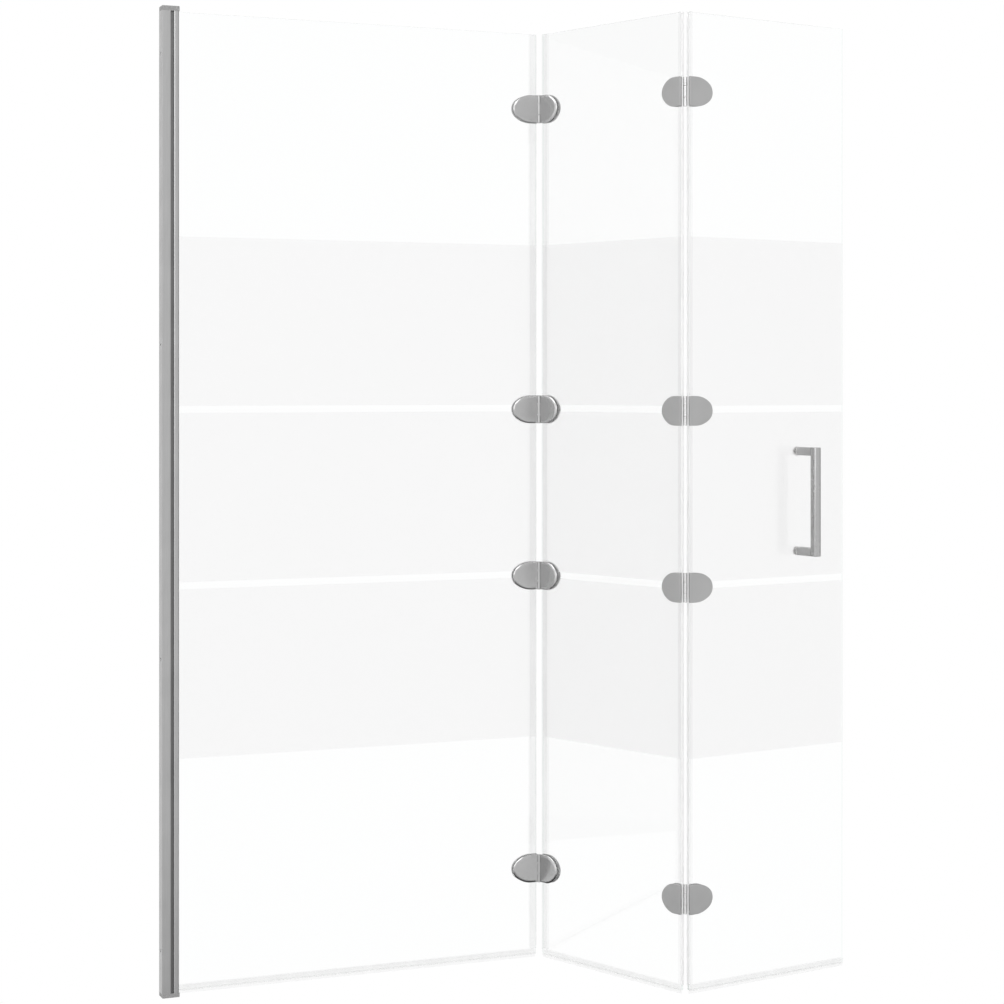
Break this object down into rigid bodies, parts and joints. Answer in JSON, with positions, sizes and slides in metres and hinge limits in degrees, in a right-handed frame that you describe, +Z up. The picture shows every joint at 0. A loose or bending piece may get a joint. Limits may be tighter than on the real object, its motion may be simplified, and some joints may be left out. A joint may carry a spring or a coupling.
{
  "type": "folding bath screen",
  "caption": "Glass bath screen with frosted bands: a fixed panel in a wall profile and folding panels on oval hinges, with a bar handle on the free panel.",
  "frame": {"origin": "on the wall, at the foot of the wall channel, in the middle plane of the fixed glass", "axes": "+X along the fixed glass away from the wall, -Y towards the room, +Z up"},
  "size_m": [0.9759, 0.2956, 1.4],
  "materials": {
    "glass": "clear toughened glass with a frosted band zone",
    "profile_aluminium": "satin anodised",
    "grey_plastic": "fine grain",
    "hinge_leaf": "polished",
    "hinge_cover": "satin",
    "clamp_plate": "mill",
    "steel": "bright",
    "hinge_gasket": "translucent",
    "glazing_gasket": "soft",
    "white_plastic": "plain",
    "clear_seal": "clear soft strip",
    "handle_metal": "brushed"
  },
  "bodies": {
    "wall_side": {"bottom_cap": "grey_plastic", "fixed_bottom_seal": "clear_seal", "fixed_clamp_plates": "clamp_plate", "fixed_clamp_screws": "steel", "fixed_covers": "hinge_cover", "fixed_fold_seal": "clear_seal", "fixed_glass": "glass", "fixed_leaf_1": "hinge_leaf", "fixed_leaf_2": "hinge_leaf", "fixed_leaf_3": "hinge_leaf", "fixed_leaf_4": "hinge_leaf", "fixed_leaf_gaskets": "hinge_gasket", "fixing_screw_caps": "grey_plastic", "fixing_screws": "steel", "fold_1_pins": "steel", "glass_profile": "profile_aluminium", "glazing_gasket_front": "glazing_gasket", "glazing_gasket_rear": "glazing_gasket", "top_cap": "grey_plastic", "wall_channel": "profile_aluminium"},
    "middle_panel": {"fold_1_bushes": "white_plastic", "fold_2_pins": "steel", "middle_bottom_seal": "clear_seal", "middle_clamp_plates": "clamp_plate", "middle_clamp_screws": "steel", "middle_fold_1_covers": "hinge_cover", "middle_fold_1_leaf_1": "hinge_leaf", "middle_fold_1_leaf_2": "hinge_leaf", "middle_fold_1_leaf_3": "hinge_leaf", "middle_fold_1_leaf_4": "hinge_leaf", "middle_fold_1_seal": "clear_seal", "middle_fold_2_covers": "hinge_cover", "middle_fold_2_leaf_1": "hinge_leaf", "middle_fold_2_leaf_2": "hinge_leaf", "middle_fold_2_leaf_3": "hinge_leaf", "middle_fold_2_leaf_4": "hinge_leaf", "middle_fold_2_seal": "clear_seal", "middle_glass": "glass", "middle_leaf_gaskets": "hinge_gasket"},
    "end_panel": {"end_bottom_seal": "clear_seal", "end_clamp_plates": "clamp_plate", "end_clamp_screws": "steel", "end_covers": "hinge_cover", "end_fold_seal": "clear_seal", "end_glass": "glass", "end_leaf_1": "hinge_leaf", "end_leaf_2": "hinge_leaf", "end_leaf_3": "hinge_leaf", "end_leaf_4": "hinge_leaf", "end_leaf_gaskets": "hinge_gasket", "fold_2_bushes": "white_plastic", "handle_bar": "handle_metal", "handle_posts": "handle_metal", "handle_rosettes": "white_plastic", "handle_screws": "steel", "handle_washers": "white_plastic"}
  },
  "joints": [
    {"name": "fold_1", "type": "hinge", "parent": "wall_side", "child": "middle_panel", "pos_m": [0.58, -0.0046, 0.6935], "axis": [0, 0, 1], "range_deg": [-102.4, 69.6]},
    {"name": "fold_2", "type": "hinge", "parent": "middle_panel", "child": "end_panel", "pos_m": [0.68971, -0.2732, 0.6935], "axis": [0, 0, 1], "range_deg": [-80.5, 94.5]}
  ]
}
